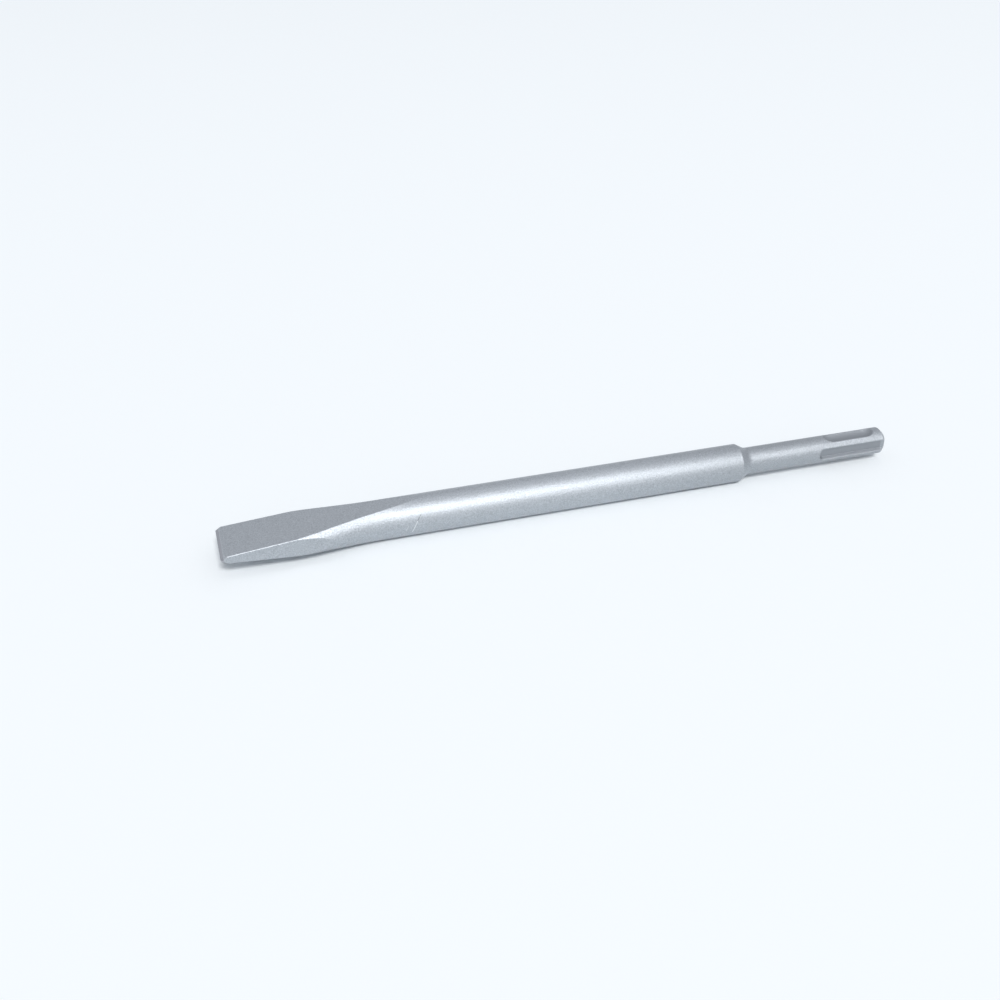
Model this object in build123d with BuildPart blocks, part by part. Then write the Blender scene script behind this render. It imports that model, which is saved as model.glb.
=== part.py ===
from build123d import *
import os
from math import radians, sqrt, tan

# Flat chisel for a rotary hammer: one steel bar, turned and slotted at one end, forged flat at the other.
# Millimetres. The bar's axis is X, with the struck end at X = 0 and the cutting edge at X = total_length.
# The blade is wide along Y and thin along Z, and everything is centred on the axis.

# The bar, and the turned shank up to where the full bar begins
total_length = 250.0
body_diameter = 14.0
shank_diameter = 10.0
shank_length = 60.5
shoulder_angle = 30.0
shoulder_fillet = 4.0
end_chamfer = 1.5

# The two drive slots along Y, open at the struck end, with flared walls
slot_length = 28.2
slot_depth = 1.8
slot_floor_width = 2.8
slot_flare = 30.0
slot_corner_radius = 1.0

# The two closed lock pockets along Z, measured at the shank's surface, left by a ball-nosed cutter
pocket_start = 4.0
pocket_end = 25.0
pocket_depth = 2.0
pocket_cutter_radius = 4.5

# The rounding of the rims of slots and pockets
rim_radius = 0.4

# The forged blade, measured back from the cutting edge: the bar spreads into an ever wider and lower oval
blade_length = 23.0
spread_length = 33.0
spread_width = 21.8
spread_height = 12.8
round_lead = 10.0
stations = 12

# What shapes the spread bar into a blade: two long flats, two trimmed sides that narrow back towards the
# bar, and the rounding between them
flat_length = 68.5
edge_web = 2.4
blade_width = 20.0
side_taper = 1.2
ridge_radius = 0.4

# The cutting edge, ground to a blunt double bevel that also takes off the two corners
bevel_angle = 45.0
edge_land = 0.3
near_corner_cut = 0.9
far_corner_cut = 0.4

body_radius = body_diameter / 2
shank_radius = shank_diameter / 2
shoulder_foot = shank_length - (body_radius - shank_radius) / tan(radians(shoulder_angle))
slot_floor_length = slot_length - slot_depth * tan(radians(slot_flare))
spread_start = total_length - blade_length - spread_length
forging_start = spread_start - round_lead
sharp_end = total_length + edge_land / 2 / tan(radians(bevel_angle))
half_edge = blade_width / 2
trimmed_root = blade_width / 2 - (total_length - spread_start) * tan(radians(side_taper))

# The pocket cutter's path: its ball ends stop where they leave the shank's surface at the pocket's ends
cutter_rise = pocket_cutter_radius - pocket_depth
cutter_height = shank_radius + cutter_rise
cutter_bite = sqrt(pocket_cutter_radius**2 - cutter_rise**2)
cutter_start = pocket_start + cutter_bite
cutter_end = pocket_end - cutter_bite

# How far the cutting shapes go past what they cut, just clear of it or right across the bar
clearance = 1.0
reach = body_diameter


def spread(x):
    """0 where the round bar begins to spread, 1 where it is fully spread, level at both."""
    u = min(max((x - spread_start) / spread_length, 0), 1)
    return u * u * (3 - 2 * u)


def oval_size(x, full_size):
    """Half the width or height of the oval at x, which goes from the round bar's to half the full size."""
    return body_radius + (full_size / 2 - body_radius) * spread(x)


# The cutter of the drive slots, standing on their floors
with BuildPart() as slot_cutter:
    slot_plane = Plane(origin=(0, shank_radius - slot_depth, 0), x_dir=(1, 0, 0), z_dir=(0, 1, 0))
    with BuildSketch(slot_plane) as slot_floor:
        with Locations((slot_floor_length, 0)):
            Rectangle(slot_length + reach, slot_floor_width, align=(Align.MAX, Align.CENTER))
        fillet(slot_floor.vertices().sort_by(Axis.X)[-2:], slot_corner_radius)
    extrude(amount=slot_depth + clearance, taper=-slot_flare)
    mirror(about=Plane.XZ)

# The cutter of the lock pockets: a round rod with ball ends above the shank, and one below
with BuildPart() as pocket_cutter:
    with Locations(((cutter_start + cutter_end) / 2, 0, cutter_height)):
        Cylinder(pocket_cutter_radius, cutter_end - cutter_start, rotation=(0, 90, 0))
    with Locations((cutter_start, 0, cutter_height), (cutter_end, 0, cutter_height)):
        Sphere(pocket_cutter_radius)
    mirror(about=Plane.XY)

# What grinding leaves at the tip: bevels above and below that meet at the edge and wrap its corners
with BuildPart() as ground_form:
    with BuildSketch():
        with BuildLine():
            Polyline(
                (-reach, reach),
                (sharp_end - reach + half_edge - near_corner_cut, reach),
                (sharp_end, half_edge - near_corner_cut),
                (sharp_end, far_corner_cut - half_edge),
                (sharp_end - reach + half_edge - far_corner_cut, -reach),
                (-reach, -reach),
                close=True,
            )
        make_face()
    extrude(amount=body_radius, taper=90 - bevel_angle)
    mirror(about=Plane.XY)

with BuildPart() as chisel:
    # The turned shank, its shoulder and the round bar
    with BuildSketch(Plane.XZ) as turned:
        with BuildLine():
            Polyline(
                (0, 0),
                (0, shank_radius),
                (shoulder_foot, shank_radius),
                (shank_length, body_radius),
                (forging_start, body_radius),
                (forging_start, 0),
                close=True,
            )
        make_face()
        foot = turned.vertices().sort_by_distance((shoulder_foot, shank_radius))[0]
        fillet(foot, shoulder_fillet)
    revolve(axis=Axis.X)

    # The slots and pockets, their rims rounded
    add(slot_cutter, mode=Mode.SUBTRACT)
    add(pocket_cutter, mode=Mode.SUBTRACT)
    shank_face = chisel.faces().filter_by(GeomType.CYLINDER).sort_by(SortBy.AREA)[-2]
    fillet(shank_face.edges().filter_by(GeomType.CIRCLE, reverse=True), rim_radius)

    # The chamfer of the struck end, cut last so that it crosses the rims
    with BuildSketch(Plane.XZ):
        with BuildLine():
            Polyline(
                (-clearance, shank_radius - end_chamfer - clearance),
                (end_chamfer + clearance, shank_radius + clearance),
                (-clearance, shank_radius + clearance),
                close=True,
            )
        make_face()
    revolve(axis=Axis.X, mode=Mode.SUBTRACT)

    # The bar spread sideways, through ovals that start round
    for station in range(stations + 1):
        x = forging_start + station * (total_length - forging_start) / stations
        with BuildSketch(Plane.YZ.offset(x)):
            Ellipse(oval_size(x, spread_width), oval_size(x, spread_height))
    loft()

    # The trimmed sides, which narrow a little from the cutting edge back to the bar
    with BuildSketch():
        with BuildLine():
            Polyline(
                (spread_start, trimmed_root),
                (total_length, blade_width / 2),
                (total_length, reach),
                (spread_start, reach),
                close=True,
            )
        make_face()
        mirror(about=Plane.XZ)
    extrude(amount=reach, both=True, mode=Mode.SUBTRACT)

    # The two long flats, which run out on the round bar, and the softened ridges beside them
    with BuildSketch(Plane.XZ):
        with BuildLine():
            Polyline(
                (total_length - flat_length, body_radius),
                (total_length, edge_web / 2),
                (total_length, reach),
                (total_length - flat_length, reach),
                close=True,
            )
        make_face()
        mirror(about=Plane.XZ)
    extrude(amount=blade_width, both=True, mode=Mode.SUBTRACT)
    flats = chisel.faces().filter_by(Axis.Z, tolerance=8).sort_by(SortBy.AREA)[-2:]
    ridges = flats.edges().filter_by(Axis.Y, reverse=True)
    fillet(ridges, ridge_radius)

    # The ground edge
    add(ground_form, mode=Mode.INTERSECT)

chisel.part.label = "chisel"
os.makedirs("parts", exist_ok=True)
export_step(chisel.part, "parts/chisel.step")
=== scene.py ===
from math import cos, radians, sin

import bpy
from mathutils import Matrix, Vector


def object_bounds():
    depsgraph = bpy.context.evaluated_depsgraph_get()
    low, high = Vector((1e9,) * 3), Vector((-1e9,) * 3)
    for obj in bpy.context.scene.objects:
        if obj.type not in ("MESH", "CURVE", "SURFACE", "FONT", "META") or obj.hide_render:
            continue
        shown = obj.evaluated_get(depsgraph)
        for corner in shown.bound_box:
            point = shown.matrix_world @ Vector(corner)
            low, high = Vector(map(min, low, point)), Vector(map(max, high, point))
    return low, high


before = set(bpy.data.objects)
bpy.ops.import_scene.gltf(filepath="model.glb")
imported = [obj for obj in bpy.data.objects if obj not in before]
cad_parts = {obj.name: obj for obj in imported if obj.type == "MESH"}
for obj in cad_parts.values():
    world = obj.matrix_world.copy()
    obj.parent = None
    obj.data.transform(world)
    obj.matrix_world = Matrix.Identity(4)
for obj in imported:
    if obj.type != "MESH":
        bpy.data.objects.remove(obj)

cad_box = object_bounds()

# The chisel is one bar of tool steel, turned and slotted at the shank and forged flat at the blade, then
# hardened and blasted, with its edge ground last. It is the frame's own solid, so its shape stays as it is
# and only its surface is dressed here.
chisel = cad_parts["chisel"]
sharp_edge_angle = 22.0
for face in chisel.data.polygons:
    face.use_smooth = True
chisel.data.set_sharp_from_angle(angle=radians(sharp_edge_angle))

millimetre = 0.001


def linear(colour):
    """The linear colour, with alpha 1, of an sRGB hex value such as 8A9098."""
    shares = [int(colour[i : i + 2], 16) / 255 for i in (0, 2, 4)]
    return [s / 12.92 if s <= 0.04045 else ((s + 0.055) / 1.055) ** 2.4 for s in shares] + [1.0]


def add(tree, kind, sockets=None, **settings):
    """One new node of a tree, with its settings and its sockets, each socket a value or an output to link."""
    new = tree.nodes.new("ShaderNode" + kind)
    for name, value in settings.items():
        setattr(new, name, value)
    for name, value in (sockets or {}).items():
        if isinstance(value, bpy.types.NodeSocket):
            tree.links.new(value, new.inputs[name])
        else:
            new.inputs[name].default_value = value
    return new


# Sandblasted tool steel: the grit leaves a fine, even, matt-silver grain with no direction, so the highlight
# is broad and breaks up into sparkle at its borders. The grit's pits are about 0.15 mm, too fine for the
# picture, and are drawn at 0.45 mm, which is as coarse as it needs to show them.
steel = bpy.data.materials.new("sandblasted tool steel")
steel.use_nodes = True
tree = steel.node_tree
shader = tree.nodes["Principled BSDF"]
place = add(tree, "TexCoord").outputs["Object"]
along = add(tree, "SeparateXYZ", {0: place}).outputs["X"]

# Painted shade and sparkle: the bottoms of the pits are darkened and their rims lightened, and a faint haze a
# few millimetres across lies over both
grain_size = 0.45 * millimetre
grain = add(tree, "TexNoise", {"Vector": place, "Scale": 1 / grain_size, "Detail": 3.0, "Roughness": 0.65})
grain = grain.outputs["Fac"]
pit_level, rim_level = 0.3, 0.7
pit_painted_shade, rim_painted_sparkle = linear("9CA1A6"), linear("CCD1D6")
speckle = add(tree, "MapRange", {"Value": grain, "From Min": pit_level, "From Max": rim_level})
speckle = speckle.outputs["Result"]
colour = add(tree, "MixRGB", {"Fac": speckle, "Color1": pit_painted_shade, "Color2": rim_painted_sparkle}).outputs["Color"]
haze_size = 6.0 * millimetre
haze = add(tree, "TexNoise", {"Vector": place, "Scale": 1 / haze_size, "Detail": 2.0, "Roughness": 0.5})
haze_share = 0.5
haze_grey = linear("BABFC4")
haze = add(tree, "MapRange", {"Value": haze.outputs["Fac"], "To Max": haze_share}).outputs["Result"]
colour = add(tree, "MixRGB", {"Fac": haze, "Color1": colour, "Color2": haze_grey}).outputs["Color"]

# Painted shade: the steel is darkened towards the struck end, where the light along the bar falls off
struck_end_painted_shade = linear("F1F1F1")
shaded_up_to, plain_from = 50.0 * millimetre, 115.0 * millimetre
limits = {"From Min": shaded_up_to, "From Max": plain_from, "To Min": 1.0, "To Max": 0.0}
painted_falloff = add(tree, "MapRange", {"Value": along, **limits}).outputs["Result"]
painted_falloff_colours = {"Fac": painted_falloff, "Color1": colour, "Color2": struck_end_painted_shade}
colour = add(tree, "MixRGB", painted_falloff_colours, blend_type="MULTIPLY").outputs["Color"]

# Painted shade in the slots and pockets of the shank: their steel is darkened to a grey where their walls
# shade them
shank_radius = 5.0 * millimetre
groove_start, groove_end = 1.6 * millimetre, 28.6 * millimetre
groove_fade = 0.5 * millimetre
groove_painted_shade = linear("A0A4A9")
across = add(tree, "VectorMath", {0: place, 1: (0.0, 1.0, 1.0)}, operation="MULTIPLY").outputs["Vector"]
from_axis = add(tree, "VectorMath", {0: across}, operation="LENGTH").outputs["Value"]
limits = {"From Min": shank_radius - groove_fade, "From Max": shank_radius, "To Min": 1.0, "To Max": 0.0}
sunk = add(tree, "MapRange", {"Value": from_axis, **limits}).outputs["Result"]
inner = add(tree, "Math", {0: along, 1: groove_start}, operation="GREATER_THAN").outputs["Value"]
outer = add(tree, "Math", {0: along, 1: groove_end}, operation="LESS_THAN").outputs["Value"]
in_zone = add(tree, "Math", {0: inner, 1: outer}, operation="MULTIPLY").outputs["Value"]
groove = add(tree, "Math", {0: sunk, 1: in_zone}, operation="MULTIPLY").outputs["Value"]
colour = add(tree, "MixRGB", {"Fac": groove, "Color1": colour, "Color2": groove_painted_shade}).outputs["Color"]

# The bevel of the edge is left by a grinding wheel: a smooth face without pits. Its darker grey is painted
# shade, where the bevel turns away from the light
bevel_length = 1.0 * millimetre
bevel_start = cad_box[1][0] - bevel_length
bevel_painted_shade = linear("A6A8AE")
ground = add(tree, "Math", {0: along, 1: bevel_start}, operation="GREATER_THAN").outputs["Value"]
colour = add(tree, "MixRGB", {"Fac": ground, "Color1": colour, "Color2": bevel_painted_shade}).outputs["Color"]

# Painted highlight: the edges of the bar are brightened a little above the blasted faces beside them, where
# their rounding catches the light. An edge is where the rounded normal turns away from the face's own.
edge_rounding_radius = 0.35 * millimetre
edge_painted_highlight = linear("CDD1D4")
strongest_edge_highlight = 0.6
full_highlight_likeness, no_highlight_likeness = 0.86, 0.99
rounded = add(tree, "Bevel", {"Radius": edge_rounding_radius}, samples=4).outputs["Normal"]
facing = add(tree, "NewGeometry").outputs["Normal"]
likeness = add(tree, "VectorMath", {0: rounded, 1: facing}, operation="DOT_PRODUCT").outputs["Value"]
limits = {"From Min": full_highlight_likeness, "From Max": no_highlight_likeness, "To Min": strongest_edge_highlight, "To Max": 0.0}
edge_highlight = add(tree, "MapRange", {"Value": likeness, **limits}).outputs["Result"]
colour = add(tree, "MixRGB", {"Fac": edge_highlight, "Color1": colour, "Color2": edge_painted_highlight}).outputs["Color"]

# The scratches on the round bar just behind the blade: a cut that is dark above and pale below, and a fainter
# one beside it. Each is a straight line over the surface, in millimetres from the middle of the struck end,
# with its colour and strength.
scratch_width = 0.2 * millimetre
scratches = (
    ((181.5, 6.0, 3.6), (183.1, 6.9, 1.4), "6E7174", 0.8),
    ((183.1, 6.9, 1.4), (185.1, 6.3, -3.0), "F2F4F5", 0.9),
    ((186.3, 7.0, 0.0), (187.3, 6.7, -2.0), "F2F4F5", 0.4),
)
for start, end, shade, strength in scratches:
    start, end = Vector(start) * millimetre, Vector(end) * millimetre
    run = (end - start).normalized()
    outward = Vector((0.0, start.y, start.z)).normalized()
    sideways = run.cross(outward)
    half_length = (end - start).length / 2
    offset = add(tree, "VectorMath", {0: place, 1: start}, operation="SUBTRACT").outputs["Vector"]
    aside = add(tree, "VectorMath", {0: offset, 1: sideways}, operation="DOT_PRODUCT").outputs["Value"]
    aside = add(tree, "Math", {0: aside}, operation="ABSOLUTE").outputs["Value"]
    limits = {"From Max": scratch_width, "To Min": strength, "To Max": 0.0}
    line = add(tree, "MapRange", {"Value": aside, **limits}).outputs["Result"]
    far = add(tree, "VectorMath", {0: offset, 1: run}, operation="DOT_PRODUCT").outputs["Value"]
    within = add(tree, "Math", {0: far, 1: half_length, 2: half_length}, operation="COMPARE").outputs["Value"]
    height = add(tree, "VectorMath", {0: place, 1: outward}, operation="DOT_PRODUCT").outputs["Value"]
    near_side = add(tree, "Math", {0: height, 1: 0.0}, operation="GREATER_THAN").outputs["Value"]
    cut = add(tree, "Math", {0: line, 1: within}, operation="MULTIPLY").outputs["Value"]
    cut = add(tree, "Math", {0: cut, 1: near_side}, operation="MULTIPLY").outputs["Value"]
    colour = add(tree, "MixRGB", {"Fac": cut, "Color1": colour, "Color2": linear(shade)}).outputs["Color"]

# The steel is bare metal, satin all over and rougher in the grooves. The pits stand in it everywhere but on
# the ground bevel.
tree.links.new(colour, shader.inputs["Base Color"])
shader.inputs["Metallic"].default_value = 1.0
smoothest, roughest = 0.39, 0.55
groove_roughness = 0.1
satin = add(tree, "MapRange", {"Value": grain, "To Min": smoothest, "To Max": roughest}).outputs["Result"]
rough = add(tree, "Math", {0: groove, 1: groove_roughness, 2: satin}, operation="MULTIPLY_ADD")
tree.links.new(rough.outputs["Value"], shader.inputs["Roughness"])
pit_depth = 0.15 * millimetre
blasted = add(tree, "Math", {0: 1.0, 1: ground}, operation="SUBTRACT").outputs["Value"]
pits = add(tree, "Bump", {"Height": grain, "Strength": blasted, "Distance": pit_depth})
tree.links.new(pits.outputs["Normal"], shader.inputs["Normal"])
chisel.data.materials.clear()
chisel.data.materials.append(steel)

# The table that the chisel lies on is a wide sheet of pale, faintly blue, matt paper, at the height of the
# chisel's lowest line.
paper_size = 8.0
floor_mesh = bpy.data.meshes.new("paper")
half = paper_size / 2
low = cad_box[0][2]
corners = [(-half, -half, low), (half, -half, low), (half, half, low), (-half, half, low)]
floor_mesh.from_pydata(corners, [], [(0, 1, 2, 3)])
floor = bpy.data.objects.new("paper", floor_mesh)
bpy.context.scene.collection.objects.link(floor)
paper = bpy.data.materials.new("matt paper")
paper.use_nodes = True
paper_shader = paper.node_tree.nodes["Principled BSDF"]
paper_roughness = 0.9
paper_shader.inputs["Base Color"].default_value = linear("F9FDFF")
paper_shader.inputs["Roughness"].default_value = paper_roughness
paper_shader.inputs["Specular IOR Level"].default_value = 0.0
floor_mesh.materials.append(paper)

# About half of the table's light comes from one softbox, far off and high on the near side, which draws the
# long highlight, and the rest evenly from the room. What the camera and the steel see of the room is its pale
# backdrop: as bright as the table low down, dimmest where the blade's flats mirror it, and brighter overhead.
world = bpy.data.worlds.new("pale room")
bpy.context.scene.world = world
world.use_nodes = True
room = world.node_tree
sky = room.nodes["Background"]
sky.inputs["Color"].default_value = linear("F6F9FF")
room_level = 0.52

# The heights in the backdrop are sines of the angle above the horizon
horizon_level, wall_level, ceiling_level = 0.95, 0.66, 0.92
wall_foot, wall_top, ceiling_foot = 0.3, 0.6, 0.95
rise = add(room, "SeparateXYZ", {0: add(room, "TexCoord").outputs["Generated"]}).outputs["Z"]
limits = {"From Max": wall_foot, "To Min": horizon_level, "To Max": wall_level}
wall = add(room, "MapRange", {"Value": rise, **limits}).outputs["Result"]
limits = {"From Min": wall_top, "From Max": ceiling_foot, "To Max": ceiling_level - wall_level}
ceiling = add(room, "MapRange", {"Value": rise, **limits}).outputs["Result"]
backdrop = add(room, "Math", {0: wall, 1: ceiling}, operation="ADD").outputs["Value"]
path = add(room, "LightPath").outputs
seen = add(room, "Math", {0: path["Is Camera Ray"], 1: path["Is Glossy Ray"]}, operation="MAXIMUM")
seen = add(room, "Math", {0: seen.outputs["Value"], 1: path["Is Transmission Ray"]}, operation="MAXIMUM")
limits = {"To Min": room_level, "To Max": backdrop}
level = add(room, "MapRange", {"Value": seen.outputs["Value"], **limits})
room.links.new(level.outputs["Result"], sky.inputs["Strength"])

centre = Vector((cad_box[0][i] + cad_box[1][i] for i in range(3))) / 2
softbox_height_angle = 48.0
softbox_distance = 20.0
softbox_width = 5.6
softbox_depth = 4.6
softbox_power = 2640.0
away = Vector((0.0, cos(radians(softbox_height_angle)), sin(radians(softbox_height_angle))))
lamp = bpy.data.lights.new("softbox", "AREA")
lamp.shape = "RECTANGLE"
lamp.size = softbox_width
lamp.size_y = softbox_depth
lamp.energy = softbox_power
softbox = bpy.data.objects.new("softbox", lamp)
softbox.location = centre + away * softbox_distance
softbox.rotation_euler = away.to_track_quat("Z", "Y").to_euler()
bpy.context.scene.collection.objects.link(softbox)

# The camera is where the photograph was taken from, above and beside the blade. It looks down across the bar,
# turned a little towards the struck end. Its upward shift is half a pixel.
camera_place = Vector((252.48, 349.28, 218.66)) * millimetre
camera_turn = 16.09
camera_dip = 31.03
camera_roll = -0.68
focal_length = 43.2
sensor_width = 36.0
picture_width = 1000
turn, dip, roll = radians(camera_turn), radians(camera_dip), radians(camera_roll)
ahead = Vector((-sin(turn) * cos(dip), -cos(turn) * cos(dip), -sin(dip)))
right = Vector((-cos(turn), sin(turn), 0))
up = right.cross(ahead)
right, up = cos(roll) * right + sin(roll) * up, cos(roll) * up - sin(roll) * right
lens = bpy.data.cameras.new("camera")
lens.lens = focal_length
lens.sensor_width = sensor_width
lens.shift_y = 0.5 / picture_width
camera = bpy.data.objects.new("camera", lens)
camera.matrix_world = Matrix.Translation(camera_place) @ Matrix((right, up, -ahead)).transposed().to_4x4()
bpy.context.scene.collection.objects.link(camera)
bpy.context.scene.camera = camera

bpy.context.scene.view_settings.view_transform = "Standard"
